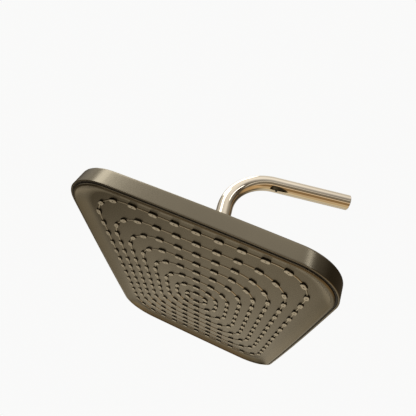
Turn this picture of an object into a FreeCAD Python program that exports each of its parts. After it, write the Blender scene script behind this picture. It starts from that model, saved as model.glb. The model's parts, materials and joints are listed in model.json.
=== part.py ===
import FreeCAD, Part
import math
import os

# Rain shower head on a swan-neck arm. Millimetres, +Z up.
# Origin: centre of the arm's wall-side end. The arm runs towards -X, bends down,
# and carries the head on a ball joint. The head is drawn in its own frame (origin at
# the centre of the nozzle tips, +Z towards its back) and then set at its rest tilt.

V = FreeCAD.Vector

# ---- arm ----
ARM_R = 9.7               # outer radius of the arm tube
ARM_WALL = 1.2
ARM_REACH = 152.0         # wall-side end to the axis of the drop
ARM_DROP = 146.0          # arm axis to the ball centre
BEND_R = 54.6             # centre-line radius of the swan neck
ARM_END_ABOVE_BALL = 38.5  # lower end of the tube above the ball centre
SOCKET_R = 6.0            # plain socket that the supply spigot slides into
SOCKET_DEPTH = 24.0
WATER_R = 5.0             # waterway through the inlet insert
INSERT_LENGTH = 97.0
GRUB_X = -93.5            # grub screw under the arm, just before the bend
GRUB_R = 1.5
GRUB_KEY_FLATS = 1.5
GRUB_LENGTH = 4.0
O_RING_X = (-40.0, -48.0)
O_RING_SECTION_R = 0.95

# ---- ball joint (heights are above the ball centre) ----
BALL_R = 10.0
NECK_R = 5.5
BALL_WATER_R = 3.5
LAYER_GAP = 0.25          # clearance between the nested spherical layers
LAYER_THICKNESS = 1.25
LINER_OUT_R = BALL_R + LAYER_GAP + LAYER_THICKNESS
CARRIER_IN_R = LINER_OUT_R + LAYER_GAP
CARRIER_OUT_R = CARRIER_IN_R + LAYER_THICKNESS
CAVITY_R = CARRIER_OUT_R + LAYER_GAP
COLLAR_LOW = 18.5         # underside of the stem's hex collar
COLLAR_TOP = 38.5
COLLAR_FLATS = 27.0
THREAD_R = 10.3           # female thread in the collar, half-inch pipe size
THREAD_FLOOR = 25.0
NIPPLE_CLEAR = 0.05
CUP_R = 19.0              # threaded outside of the lower ball cup
CUP_TOP = -1.0
CAP_R = 23.0
CAP_LOW = -8.0
CAP_TOP = 11.5
CAP_HOLE_LOW_R = 9.7
CAP_HOLE_TOP_R = 11.1
CAP_HOLE_LOW = 9.0        # height where the cap nut's opening starts to flare
CAP_DOME = 5.0
FLUTES = 24
FLUTE_R = 1.2
STEM_TAPER_R = 9.0
STEM_TAPER = 3.0
REGULATOR_SEAT_R = 7.0
REGULATOR_T = 4.0
NIPPLE_BORE_R = 7.0
NIPPLE_SPIGOT = 15.0
LINER_OPENING = 35.0      # half angle of each opening, degrees
CARRIER_TOP_OPENING = 46.0
CARRIER_LOW_OPENING = 50.0

# ---- head outline ----
HALF_W = 106.6            # half width across the middle
HALF_L = 149.5            # half length across the middle
SIDE_R = 6900.0           # the long sides bow out very slightly
END_R = 2300.0            # the short ends bow out a little more
CORNER_R = 39.5
BALL_Z = 29.4             # ball centre above the nozzle tips
REST_TILT = 11.2          # degrees, head about its long axis
REST_SWIVEL = -3.56       # degrees, head about the drop of the arm

# ---- head heights, above the nozzle tips ----
LIP_Z = -2.4              # lower lip of the shell wall
WALL_TOP = 11.35
PLATE_LOW = -3.7          # lowest ring of the face plate
FIELD_Z = 1.3             # underside of the nozzle field
PLATE_T = 1.6
FLANGE_TOP = 6.6
MAT_T = 1.2
SPREADER_T = 2.0
GASKET_T = 1.0
COVER_FLANGE_T = 1.5
CHAMBER_CEILING = 10.4
COVER_TOP = 12.0
SHELL_T = 1.4
BACK_TOP = 17.8

MAT_Z = FIELD_Z + PLATE_T
SPREADER_Z = MAT_Z + MAT_T
GASKET_Z = SPREADER_Z + SPREADER_T
COVER_Z = GASKET_Z + GASKET_T

# ---- head insets from the outer outline ----
WALL_LEAN = 0.5           # the wall leans in towards the back
BEVEL = 0.9
LIP_WIDTH = 1.3
PLATE_INSET = 2.7
FLANGE_T = 1.6
MAT_INSET = 15.4
SPREADER_INSET = 8.0
GASKET_WIDTH = 2.4
CHAMBER_INSET = 14.0
# (inset, height) of the cove between the plate's edge and its flat field
COVE = ((4.6, PLATE_LOW), (6.2, -2.2), (8.2, -0.9), (10.6, 0.35), (13.0, 1.05), (15.0, FIELD_Z))
# (inset, height) of the softly raised back
BACK = ((1.3, WALL_TOP), (8.0, 13.1), (18.0, 15.6), (28.0, 17.2), (37.0, BACK_TOP))

# ---- nozzles ----
RINGS = 8
NOZZLES_PER_RING_STEP = 6
RING_HALF_W_START = 0.5
RING_HALF_W_STEP = 10.85
RING_HALF_L_START = 11.35
RING_HALF_L_STEP = 16.83
RING_CORNER_R = (11.35, 22.2, 28.0, 29.5, 32.0, 37.0, 38.0, 33.0)
NOZZLE_HALF_L = 3.5       # the nozzles are oval, longer along their ring
NOZZLE_HALF_W = 1.9
NOZZLE_HOLE_R = 0.5
NOZZLE_CLEAR = 0.2
SPREADER_HOLE_R = 1.5
RIB_WIDTH = 1.1
RIB_HEIGHT = 0.5

# ---- screws ----
PLATE_SCREW_SPOTS = ((-1, -1), (-1, 0), (-1, 1), (0, -1), (0, 1), (1, -1), (1, 0), (1, 1))
PLATE_SCREW_R = 1.4
PLATE_SCREW_HEAD_R = 2.4
PLATE_SCREW_HEAD_T = 1.6
PLATE_SCREW_INSET = 11.0
PLATE_SCREW_POST_R = 3.4
PLATE_SCREW_POST_LOW = FIELD_Z + 0.4
PLATE_SCREW_HOLE_LOW = FIELD_Z + 0.7
SCREW_CLEAR = 0.2
BOSS_SCREW_R = 1.9
BOSS_SCREW_HEAD_R = 3.4
BOSS_SCREW_PCD_R = 25.0
BOSS_FLANGE_R = 30.0
BOSS_FLANGE_T = 2.2
BOSS_PAD_R = 33.0
CUP_WATER_R = 6.0
BOSS_SCREW_LOW = COVER_Z + 0.8


# ---------- geometry helpers ----------
def unit(x, y):
    length = math.hypot(x, y)
    return x / length, y / length


def corner_centre():
    """Centre of the corner arc that meets the side arc and the end arc smoothly."""
    side_x, end_y = HALF_W - SIDE_R, HALF_L - END_R
    r_side, r_end = SIDE_R - CORNER_R, END_R - CORNER_R
    span = math.hypot(side_x, end_y)
    along = (r_side ** 2 - r_end ** 2 + span ** 2) / (2 * span)
    away = math.sqrt(r_side ** 2 - along ** 2)
    ux, uy = unit(-side_x, end_y)
    return side_x + along * ux - away * uy, along * uy + away * ux


CORNER_X, CORNER_Y = corner_centre()


def outline(inset, z):
    """The head's outline moved inwards: four long arcs and four corner arcs."""
    sx, sy = unit(CORNER_X - (HALF_W - SIDE_R), CORNER_Y)
    ex, ey = unit(CORNER_X, CORNER_Y - (HALF_L - END_R))
    mx, my = unit(sx + ex, sy + ey)
    r = CORNER_R - inset
    side, mid, end = [(CORNER_X + r * ux, CORNER_Y + r * uy) for ux, uy in ((sx, sy), (mx, my), (ex, ey))]
    corners = []
    for kx, ky in ((1, 1), (-1, 1), (-1, -1), (1, -1)):
        turn = (side, mid, end) if kx == ky else (end, mid, side)
        corners.append([V(kx * x, ky * y, z) for x, y in turn])
    w, h = HALF_W - inset, HALF_L - inset
    middles = (V(0, h, z), V(-w, 0, z), V(0, -h, z), V(w, 0, z))
    edges = []
    for i, (a, m, b) in enumerate(corners):
        edges.append(Part.Arc(a, m, b).toShape())
        edges.append(Part.Arc(b, middles[i], corners[(i + 1) % 4][0]).toShape())
    return Part.Wire(edges)


def slab(inset, low, high):
    return Part.Face(outline(inset, low)).extrude(V(0, 0, high - low))


def band(inset, width, low, high):
    return slab(inset, low, high).cut(slab(inset + width, low, high))


def stack(profile):
    """Solid through the outline at each (inset, height)."""
    return Part.makeLoft([outline(inset, z) for inset, z in profile], True, True)


def rounded(half_w, half_l, r, z):
    """Rounded rectangle wire; a circle when the radius fills both halves."""
    if half_l - r < 1e-6 and half_w - r < 1e-6:
        return Part.Wire(Part.Circle(V(0, 0, z), V(0, 0, 1), r).toShape())
    edges = []
    start = V(half_w, -(half_l - r), z)
    point = start
    s = r * math.sqrt(0.5)
    for kx, ky in ((1, 1), (-1, 1), (-1, -1), (1, -1)):
        cx, cy = kx * (half_w - r), ky * (half_l - r)
        on_side, on_end = V(cx + kx * r, cy, z), V(cx, cy + ky * r, z)
        a, b = (on_side, on_end) if kx == ky else (on_end, on_side)
        if (a - point).Length > 1e-6:
            edges.append(Part.LineSegment(point, a).toShape())
        edges.append(Part.Arc(a, V(cx + kx * s, cy + ky * s, z), b).toShape())
        point = b
    if (start - point).Length > 1e-6:
        edges.append(Part.LineSegment(point, start).toShape())
    return Part.Wire(edges)


def ring_size(k):
    half_w = RING_HALF_W_START + RING_HALF_W_STEP * k
    half_l = RING_HALF_L_START + RING_HALF_L_STEP * (k - 1)
    return half_w, half_l, RING_CORNER_R[k - 1]


def ring_points(k):
    """Nozzle centres and turns, evenly spaced along ring k, the first on the +Y axis."""
    half_w, half_l, r = ring_size(k)
    flat, side, turn = half_w - r, half_l - r, 0.5 * math.pi * r
    quarter = flat + turn + side
    count = NOZZLES_PER_RING_STEP * k
    points = []
    for i in range(count):
        s = 4 * quarter * i / count
        q = int(s // quarter)
        u = s - q * quarter
        if q % 2 == 1:
            u = quarter - u
        if u < flat:
            x, y, a = u, half_l, 0.0
        elif u < flat + turn:
            a = (u - flat) / r
            x, y = flat + r * math.sin(a), side + r * math.cos(a)
        else:
            x, y, a = half_w, quarter - u, math.pi / 2
        kx, ky = (1 if q < 2 else -1), (1 if q in (0, 3) else -1)
        points.append((kx * x, ky * y, -kx * ky * a))
    return points


def nozzle_spots():
    return [p for k in range(1, RINGS + 1) for p in ring_points(k)]


def nozzle_centres():
    return [(x, y) for x, y, _ in nozzle_spots()]


def ovals(half_l, half_w, low, high):
    """An oval prism at every nozzle, with its long way along the ring."""
    s = half_l - half_w
    outline_points = ((-s, -half_w), (s, -half_w), (half_l, 0), (s, half_w), (-s, half_w), (-half_l, 0))
    solids = []
    for x, y, turn in nozzle_spots():
        c, n = math.cos(turn), math.sin(turn)
        a, b, end, d, e, start = [V(x + u * c - v * n, y + u * n + v * c, low) for u, v in outline_points]
        edges = [Part.LineSegment(a, b), Part.Arc(b, end, d), Part.LineSegment(d, e), Part.Arc(e, start, a)]
        wire = Part.Wire([edge.toShape() for edge in edges])
        solids.append(Part.Face(wire).extrude(V(0, 0, high - low)))
    return Part.makeCompound(solids)


def pins(r, low, high, centres):
    return Part.makeCompound([Part.makeCylinder(r, high - low, V(x, y, low)) for x, y in centres])


def tube(r_out, r_in, low, high, at=V(0, 0, 0)):
    outer = Part.makeCylinder(r_out, high - low, at + V(0, 0, low))
    return outer.cut(Part.makeCylinder(r_in, high - low, at + V(0, 0, low)))


def hexagon(flats, low, high):
    r = flats / math.sqrt(3)
    pts = [V(r * math.cos(math.radians(60 * i)), r * math.sin(math.radians(60 * i)), low) for i in range(7)]
    return Part.Face(Part.makePolygon(pts)).extrude(V(0, 0, high - low))


def cone_cutter(half_angle, upward):
    """Cone with its tip at the origin that opens a spherical layer at one pole."""
    far = 2 * CAVITY_R
    direction = V(0, 0, 1 if upward else -1)
    return Part.makeCone(0, far * math.tan(math.radians(half_angle)), far, V(0, 0, 0), direction)


# ---------- placing ----------
BALL = V(-ARM_REACH, 0, -ARM_DROP)


def at_ball(shape):
    placed = shape.copy()
    placed.translate(BALL)
    return placed


def on_head(shape):
    """From the head's own frame to its rest pose on the ball."""
    placed = shape.copy()
    placed.translate(V(0, 0, -BALL_Z))
    placed.rotate(V(0, 0, 0), V(0, 1, 0), REST_TILT)
    placed.rotate(V(0, 0, 0), V(0, 0, 1), REST_SWIVEL)
    placed.translate(BALL)
    return placed


# ---------- arm ----------
def arm_path():
    corner_x = -(ARM_REACH - BEND_R)
    s = BEND_R * math.sqrt(0.5)
    a, b = V(0, 0, 0), V(corner_x, 0, 0)
    c = V(-ARM_REACH, 0, -BEND_R)
    middle = V(corner_x - s, 0, -BEND_R + s)
    d = V(-ARM_REACH, 0, -ARM_DROP + ARM_END_ABOVE_BALL)
    return Part.Wire([Part.LineSegment(a, b).toShape(), Part.Arc(b, middle, c).toShape(),
                      Part.LineSegment(c, d).toShape()])


def make_arm_tube():
    path = arm_path()
    discs = [Part.Face(Part.Wire(Part.Circle(V(0, 0, 0), V(1, 0, 0), r).toShape()))
             for r in (ARM_R, ARM_R - ARM_WALL)]
    solid, bore = [path.makePipe(disc) for disc in discs]
    grub_hole = Part.makeCylinder(GRUB_R + 0.15, 2 * ARM_WALL + 1, V(GRUB_X, 0, -ARM_R - 1))
    return solid.cut(bore).cut(grub_hole)


def make_inlet_insert():
    axis = V(-1, 0, 0)
    body = Part.makeCylinder(ARM_R - ARM_WALL - 0.1, INSERT_LENGTH, V(0, 0, 0), axis)
    body = body.cut(Part.makeCylinder(SOCKET_R, SOCKET_DEPTH, V(0, 0, 0), axis))
    body = body.cut(Part.makeCylinder(WATER_R, INSERT_LENGTH, V(0, 0, 0), axis))
    groove_floor = ARM_R - ARM_WALL - 2.0
    for x in O_RING_X:
        groove = Part.makeCylinder(ARM_R, 2.4, V(x + 1.2, 0, 0), axis)
        body = body.cut(groove.cut(Part.makeCylinder(groove_floor, 2.4, V(x + 1.2, 0, 0), axis)))
    return body.cut(Part.makeCylinder(GRUB_R, ARM_R, V(GRUB_X, 0, -ARM_R)))


def make_o_ring(x):
    major = ARM_R - ARM_WALL - 0.05 - O_RING_SECTION_R
    return Part.makeTorus(major, O_RING_SECTION_R, V(x, 0, 0), V(1, 0, 0))


def make_grub_screw():
    low = -ARM_R + 0.3
    screw = Part.makeCylinder(GRUB_R, GRUB_LENGTH, V(0, 0, low))
    screw = screw.cut(hexagon(GRUB_KEY_FLATS, low, low + 2.0))
    screw.translate(V(GRUB_X, 0, 0))
    return screw


def make_arm_nipple():
    thread = tube(THREAD_R - NIPPLE_CLEAR, NIPPLE_BORE_R, THREAD_FLOOR + 2.2, COLLAR_TOP)
    spigot = tube(ARM_R - ARM_WALL - NIPPLE_CLEAR, NIPPLE_BORE_R, COLLAR_TOP, COLLAR_TOP + NIPPLE_SPIGOT)
    return at_ball(thread.fuse(spigot).removeSplitter())


# ---------- ball joint ----------
def make_ball_stem():
    ball = Part.makeSphere(BALL_R)
    neck = Part.makeCylinder(NECK_R, COLLAR_LOW + 1)
    taper = Part.makeCone(NECK_R, STEM_TAPER_R, STEM_TAPER, V(0, 0, COLLAR_LOW - STEM_TAPER + 0.5))
    collar = hexagon(COLLAR_FLATS, COLLAR_LOW, COLLAR_TOP)
    chamfer = Part.makeCone(COLLAR_FLATS / 2 + 0.6, COLLAR_FLATS / 2 + 2.6, 2.0, V(0, 0, COLLAR_LOW))
    barrel = Part.makeCylinder(COLLAR_FLATS / 2 + 2.6, COLLAR_TOP - COLLAR_LOW - 4, V(0, 0, COLLAR_LOW + 2))
    top = Part.makeCone(COLLAR_FLATS / 2 + 2.6, COLLAR_FLATS / 2 + 0.6, 2.0, V(0, 0, COLLAR_TOP - 2))
    collar = collar.common(chamfer.fuse(barrel).fuse(top))
    stem = ball.fuse(neck).fuse(taper).fuse(collar)
    stem = stem.cut(Part.makeCylinder(BALL_WATER_R, 60, V(0, 0, -BALL_R - 1)))
    stem = stem.cut(Part.makeCylinder(REGULATOR_SEAT_R, REGULATOR_T + 2, V(0, 0, THREAD_FLOOR - REGULATOR_T)))
    stem = stem.cut(Part.makeCylinder(THREAD_R, COLLAR_TOP, V(0, 0, THREAD_FLOOR)))
    return at_ball(stem)


def make_flow_regulator():
    disc = tube(REGULATOR_SEAT_R - 0.1, 1.4, THREAD_FLOOR - REGULATOR_T, THREAD_FLOOR - 0.2)
    slots = Part.makeCompound([Part.makeCylinder(0.6, 6, V(4.2 * math.cos(a), 4.2 * math.sin(a), THREAD_FLOOR - 5))
                               for a in [math.radians(60 * i) for i in range(6)]])
    return at_ball(disc.cut(slots))


def make_stem_washer():
    return at_ball(tube(THREAD_R - 0.1, 6.6, THREAD_FLOOR, THREAD_FLOOR + 2.1))


def make_strainer():
    disc = Part.makeCylinder(6.5, 0.6, V(0, 0, THREAD_FLOOR + 0.6))
    spots = [(1.5 * i, 1.5 * j) for i in range(-3, 4) for j in range(-3, 4) if math.hypot(i, j) < 3.4]
    return at_ball(disc.cut(pins(0.5, THREAD_FLOOR, THREAD_FLOOR + 2, spots)))


def spherical_layer(r_in, r_out, top_angle, low_angle):
    layer = Part.makeSphere(r_out).cut(Part.makeSphere(r_in))
    return layer.cut(cone_cutter(top_angle, True)).cut(cone_cutter(low_angle, False))


def make_ball_liner():
    return at_ball(spherical_layer(BALL_R + LAYER_GAP, LINER_OUT_R, LINER_OPENING, LINER_OPENING))


def make_seal_carrier():
    lifted = spherical_layer(CARRIER_IN_R, CARRIER_OUT_R, CARRIER_TOP_OPENING, CARRIER_LOW_OPENING)
    lifted.rotate(V(0, 0, 0), V(0, 1, 0), REST_TILT)
    lifted.rotate(V(0, 0, 0), V(0, 0, 1), REST_SWIVEL)
    return at_ball(lifted)


def make_ball_cup():
    body = Part.makeCylinder(CUP_R, BALL_Z + CUP_TOP - COVER_TOP, V(0, 0, COVER_TOP))
    flange = Part.makeCylinder(BOSS_FLANGE_R, BOSS_FLANGE_T, V(0, 0, COVER_TOP))
    cup = body.fuse(flange).cut(Part.makeSphere(CAVITY_R, V(0, 0, BALL_Z)))
    cup = cup.cut(Part.makeCylinder(CUP_WATER_R, BALL_Z, V(0, 0, 0)))
    return on_head(cup.cut(pins(BOSS_SCREW_R + SCREW_CLEAR, 0, BALL_Z, boss_spots())))


def make_cap_nut():
    low, top = BALL_Z + CAP_LOW, BALL_Z + CAP_TOP
    body = Part.makeCylinder(CAP_R, top - low - CAP_DOME, V(0, 0, low))
    dome = Part.makeCone(CAP_R, CAP_R - 6.5, CAP_DOME, V(0, 0, top - CAP_DOME))
    flutes = Part.makeCompound([Part.makeCylinder(FLUTE_R, top - low, V((CAP_R + 0.6) * math.cos(a),
                               (CAP_R + 0.6) * math.sin(a), low)) for a in grips()])
    nut = body.fuse(dome).removeSplitter().cut(flutes)
    nut = nut.cut(Part.makeCylinder(CUP_R + 0.1, BALL_Z + CUP_TOP - low + 0.1, V(0, 0, low)))
    nut = nut.cut(Part.makeSphere(CAVITY_R, V(0, 0, BALL_Z)))
    flare = CAP_TOP - CAP_HOLE_LOW
    hole = Part.makeCone(CAP_HOLE_LOW_R, CAP_HOLE_TOP_R, flare, V(0, 0, BALL_Z + CAP_HOLE_LOW))
    return on_head(nut.cut(hole))


def grips():
    return [math.radians(360 / FLUTES * i) for i in range(FLUTES)]


def make_boss_o_ring():
    return on_head(tube(CUP_WATER_R + 3.0, CUP_WATER_R + 1.0, COVER_TOP - 1.0, COVER_TOP))


# ---------- head ----------
def boss_spots():
    return [(BOSS_SCREW_PCD_R * math.cos(math.radians(45 + 90 * i)),
             BOSS_SCREW_PCD_R * math.sin(math.radians(45 + 90 * i))) for i in range(4)]


def make_boss_screws():
    low = BOSS_SCREW_LOW
    seat = COVER_TOP + BOSS_FLANGE_T
    screws = []
    for x, y in boss_spots():
        shank = Part.makeCylinder(BOSS_SCREW_R, seat - low, V(x, y, low))
        head = Part.makeCylinder(BOSS_SCREW_HEAD_R, 2.2, V(x, y, seat))
        key = hexagon(2.5, seat + 0.9, seat + 2.3)
        key.translate(V(x, y, 0))
        screws.append(shank.fuse(head).cut(key))
    return on_head(Part.makeCompound(screws))


def screw_spots():
    """Plate screws sit in the band between the outer nozzles and the flange."""
    w, h = HALF_W - PLATE_SCREW_INSET, HALF_L - PLATE_SCREW_INSET
    pull = (CORNER_R - PLATE_SCREW_INSET) * (1 - math.sqrt(0.5))
    spots = []
    for kx, ky in PLATE_SCREW_SPOTS:
        shift = pull if kx and ky else 0
        spots.append((kx * (w - shift), ky * (h - shift)))
    return spots


def make_face_plate():
    plate = slab(PLATE_INSET, PLATE_LOW, FLANGE_TOP)
    rim_edges = [e for e in plate.Edges if abs(e.BoundBox.ZMin - PLATE_LOW) < 1e-6
                 and abs(e.BoundBox.ZMax - PLATE_LOW) < 1e-6]
    plate = plate.makeFillet(1.4, rim_edges)
    below = ((COVE[0][0], PLATE_LOW - 1),) + COVE
    plate = plate.cut(stack(below))
    skin = [(inset, z + PLATE_T) for inset, z in COVE[1:]]
    pocket_inset = PLATE_INSET + FLANGE_T
    pocket = slab(pocket_inset, skin[0][1], FLANGE_TOP + 1).cut(stack(skin))
    plate = plate.cut(pocket)
    for k in range(1, RINGS + 1):
        plate = plate.fuse(ring_rib(k))
    posts = pins(PLATE_SCREW_POST_R, PLATE_SCREW_POST_LOW, SPREADER_Z, screw_spots())
    plate = plate.fuse(posts.Solids).removeSplitter()
    plate = plate.cut(pins(PLATE_SCREW_R, PLATE_SCREW_HOLE_LOW, SPREADER_Z + 1, screw_spots()))
    holes = ovals(NOZZLE_HALF_L + NOZZLE_CLEAR, NOZZLE_HALF_W + NOZZLE_CLEAR, FIELD_Z - 2, MAT_Z + 1)
    return on_head(plate.cut(holes))


def ring_rib(k):
    half_w, half_l, r = ring_size(k)
    e = RIB_WIDTH / 2
    low = FIELD_Z - RIB_HEIGHT
    height = RIB_HEIGHT + 0.2
    outer = Part.Face(rounded(half_w + e, half_l + e, r + e, low)).extrude(V(0, 0, height))
    inner = Part.Face(rounded(half_w - e, half_l - e, r - e, low)).extrude(V(0, 0, height))
    return outer.cut(inner)


def make_nozzle_mat():
    mat = slab(MAT_INSET, MAT_Z, SPREADER_Z)
    teeth = ovals(NOZZLE_HALF_L, NOZZLE_HALF_W, 0.0, MAT_Z + 0.2)
    mat = mat.fuse(teeth.Solids)
    return on_head(mat.cut(pins(NOZZLE_HOLE_R, -1, SPREADER_Z + 1, nozzle_centres())))


def make_spreader():
    plate = slab(SPREADER_INSET, SPREADER_Z, GASKET_Z)
    plate = plate.cut(pins(SPREADER_HOLE_R, SPREADER_Z - 1, GASKET_Z + 1, nozzle_centres()))
    return on_head(plate.cut(pins(PLATE_SCREW_R + SCREW_CLEAR, 0, BALL_Z, screw_spots())))


def make_chamber_gasket():
    ring = band(SPREADER_INSET + 0.3, GASKET_WIDTH, GASKET_Z, COVER_Z)
    eyes = pins(PLATE_SCREW_R + 1.2, GASKET_Z, COVER_Z, screw_spots())
    ring = ring.fuse(eyes.Solids).removeSplitter()
    return on_head(ring.cut(pins(PLATE_SCREW_R + SCREW_CLEAR, 0, BALL_Z, screw_spots())))


def make_chamber_cover():
    flange = slab(SPREADER_INSET, COVER_Z, COVER_Z + COVER_FLANGE_T)
    tray = slab(CHAMBER_INSET, COVER_Z, COVER_TOP)
    chamber = slab(CHAMBER_INSET + 2.0, COVER_Z - 1, CHAMBER_CEILING)
    cover = flange.fuse(tray).removeSplitter().cut(chamber)
    ribs = [Part.makeBox(1.6, 2 * (HALF_L - 30), 2.0, V(x, -(HALF_L - 30), CHAMBER_CEILING - 2.0)) for x in (-50, 50)]
    posts = [Part.makeCylinder(4.0, CHAMBER_CEILING - COVER_Z + 0.5, V(x, y, COVER_Z)) for x, y in boss_spots()]
    cover = cover.fuse(ribs + posts).removeSplitter()
    cover = cover.cut(Part.makeCylinder(CUP_WATER_R, BALL_Z, V(0, 0, 0)))
    cover = cover.cut(tube(CUP_WATER_R + 3.0, CUP_WATER_R + 1.0, COVER_TOP - 1.0, COVER_TOP + 1))
    cover = cover.cut(pins(BOSS_SCREW_R, BOSS_SCREW_LOW, BALL_Z, boss_spots()))
    return on_head(cover.cut(pins(PLATE_SCREW_R + SCREW_CLEAR, 0, BALL_Z, screw_spots())))


def make_plate_screws():
    seat = COVER_Z + COVER_FLANGE_T
    low = PLATE_SCREW_HOLE_LOW + 0.2
    screws = []
    for x, y in screw_spots():
        shank = Part.makeCylinder(PLATE_SCREW_R, seat - low, V(x, y, low))
        head = Part.makeCylinder(PLATE_SCREW_HEAD_R, PLATE_SCREW_HEAD_T, V(x, y, seat))
        slot = Part.makeBox(3.2, 0.6, 0.9, V(x - 1.6, y - 0.3, seat + PLATE_SCREW_HEAD_T - 0.8))
        cross = Part.makeBox(0.6, 3.2, 0.9, V(x - 0.3, y - 1.6, seat + PLATE_SCREW_HEAD_T - 0.8))
        screws.append(shank.fuse(head).cut(slot).cut(cross))
    return on_head(Part.makeCompound(screws))


def make_edge_seal():
    inset = LIP_WIDTH + 0.2
    return on_head(band(inset, PLATE_INSET - inset - 0.1, LIP_Z + 0.3, LIP_Z + 3.3))


def make_head_shell():
    outer = stack(((0.0, LIP_Z), (WALL_LEAN, WALL_TOP - BEVEL)) + BACK)
    roof = tuple((inset, z - SHELL_T) for inset, z in BACK[1:])
    inner = stack(((LIP_WIDTH, LIP_Z - 1), (LIP_WIDTH + 0.1, WALL_TOP - SHELL_T)) + roof)
    shell = outer.cut(inner)
    return on_head(shell.cut(Part.makeCylinder(CUP_R + 1.0, BALL_Z, V(0, 0, 0))))


def make_back_collar():
    low, high = BACK_TOP, BALL_Z + CAP_LOW - 0.3
    collar = Part.makeCone(BOSS_PAD_R, CAP_R + 2.0, high - low, V(0, 0, low))
    return on_head(collar.cut(Part.makeCylinder(CUP_R + 0.1, BALL_Z, V(0, 0, 0))))


PARTS = {
    "arm_tube": make_arm_tube,
    "inlet_insert": make_inlet_insert,
    "arm_grub_screw": make_grub_screw,
    "arm_nipple": make_arm_nipple,
    "stem_washer": make_stem_washer,
    "strainer": make_strainer,
    "flow_regulator": make_flow_regulator,
    "ball_stem": make_ball_stem,
    "ball_liner": make_ball_liner,
    "seal_carrier": make_seal_carrier,
    "ball_cup": make_ball_cup,
    "cap_nut": make_cap_nut,
    "boss_o_ring": make_boss_o_ring,
    "boss_screws": make_boss_screws,
    "back_collar": make_back_collar,
    "head_shell": make_head_shell,
    "edge_seal": make_edge_seal,
    "chamber_cover": make_chamber_cover,
    "chamber_gasket": make_chamber_gasket,
    "spreader_plate": make_spreader,
    "plate_screws": make_plate_screws,
    "nozzle_mat": make_nozzle_mat,
    "face_plate": make_face_plate,
}


def main():
    os.makedirs("parts", exist_ok=True)
    for name, make in PARTS.items():
        make().exportStep(f"parts/{name}.step")
    for index, x in enumerate(O_RING_X, start=1):
        make_o_ring(x).exportStep(f"parts/inlet_o_ring_{index}.step")


main()
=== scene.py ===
import json
import math

import bmesh
import bpy
from mathutils import Matrix, Vector
from mathutils.geometry import delaunay_2d_cdt
from mathutils.kdtree import KDTree


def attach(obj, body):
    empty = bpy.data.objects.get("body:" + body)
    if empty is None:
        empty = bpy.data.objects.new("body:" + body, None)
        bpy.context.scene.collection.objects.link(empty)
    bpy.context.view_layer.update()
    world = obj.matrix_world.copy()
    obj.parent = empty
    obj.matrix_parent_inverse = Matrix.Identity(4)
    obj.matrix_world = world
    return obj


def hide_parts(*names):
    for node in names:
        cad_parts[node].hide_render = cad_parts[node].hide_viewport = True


# Looks of a rain shower head on a swan-neck arm. Sizes are in millimetres and become
# metres when a piece is placed. Heights in the head's own frame are above the plane of
# the nozzle tips, and its +Z points to the back of the head.

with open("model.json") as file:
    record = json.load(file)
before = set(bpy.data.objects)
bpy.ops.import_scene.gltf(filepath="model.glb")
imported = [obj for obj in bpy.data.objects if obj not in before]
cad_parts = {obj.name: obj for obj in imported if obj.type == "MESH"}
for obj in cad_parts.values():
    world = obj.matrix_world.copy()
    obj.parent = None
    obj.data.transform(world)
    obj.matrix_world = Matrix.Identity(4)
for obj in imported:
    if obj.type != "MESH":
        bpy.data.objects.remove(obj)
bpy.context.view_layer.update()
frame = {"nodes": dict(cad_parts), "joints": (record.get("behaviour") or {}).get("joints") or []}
MM = 0.001

# ---- arm ----
ARM_R = 9.7
ARM_WALL = 1.2
ARM_REACH = 152.0
ARM_DROP = 146.0
BEND_R = 54.6
ARM_END_ABOVE_BALL = 38.5
TUBE_CHAMFER = 0.35
GRUB_X = -93.5
GRUB_HOLE_R = 1.65

# ---- head outline, a hair inside the solid model's ----
HALF_W = 106.58
HALF_L = 149.48
SIDE_R = 6900.0
END_R = 2300.0
CORNER_R = 39.5
BALL_Z = 29.4

# ---- head heights ----
LIP_Z = -2.39
WALL_TOP = 11.35
WALL_LEAN = 0.5
LIP_WIDTH = 1.3
PLATE_LOW = -3.69
PLATE_INSET = 2.7
FIELD_Z = 1.3
FIELD_INSET = 15.0
FLANGE_TOP = 6.6
BACK_TOP = 17.8
SHELL_T = 1.4
CROWN_INSET = 37.0
MAT_Z = 2.9
MAT_TOP = 4.1
MAT_INSET = 15.4

# ---- nozzle rings ----
RINGS = 8
RING_START_W = 0.5
RING_STEP_W = 10.85
RING_START_L = 11.35
RING_STEP_L = 16.83
NOZZLES_MORE_PER_RING = 6
RING_CORNER_R = (11.35, 22.2, 28.0, 29.5, 32.0, 37.0, 38.0, 33.0)
NOZZLE_HALF_L = 3.5
NOZZLE_HALF_W = 1.9
HOLE_CLEAR = 0.2
HOLE_EDGE = 0.12
HOLE_R = NOZZLE_HALF_W + HOLE_CLEAR
OVAL_STEPS = 12
RIB_HEIGHT = 0.5
RIB_MARK = "rib_share"
# (distance from the rib's middle, share of its height)
RIB_SECTION = (
    (0.0, 1.0), (0.26, 1.0), (0.36, 0.88), (0.45, 0.5), (0.51, 0.12), (0.55, 0.0), (0.8, 0.0),
)

# ---- joint ----
CAP_R = 23.0
CAP_LOW = -8.0
CAP_TOP = 11.5
CUP_R = 19.0
FLUTES = 24
COLLAR_FLATS = 27.0
COLLAR_LOW = 18.5
COLLAR_TOP = 38.5
BALL_R = 10.0
NECK_R = 5.5

joints = {joint["name"]: joint for joint in frame["joints"]}
BALL = Vector(joints["tilt_side"]["pos_m"])
HEAD_X = Vector(joints["tilt_side"]["axis"]).normalized()
HEAD_Y = Vector(joints["tilt_fore"]["axis"]).normalized()
HEAD_Z = HEAD_X.cross(HEAD_Y)
HEAD_TURN = Matrix((HEAD_X, HEAD_Y, HEAD_Z)).transposed()


# ---------- placing ----------
def head_place():
    place = HEAD_TURN.to_4x4()
    place.translation = BALL - HEAD_Z * BALL_Z * MM
    return place @ Matrix.Scale(MM, 4)


def ball_place():
    return Matrix.Translation(BALL) @ Matrix.Scale(MM, 4)


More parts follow.
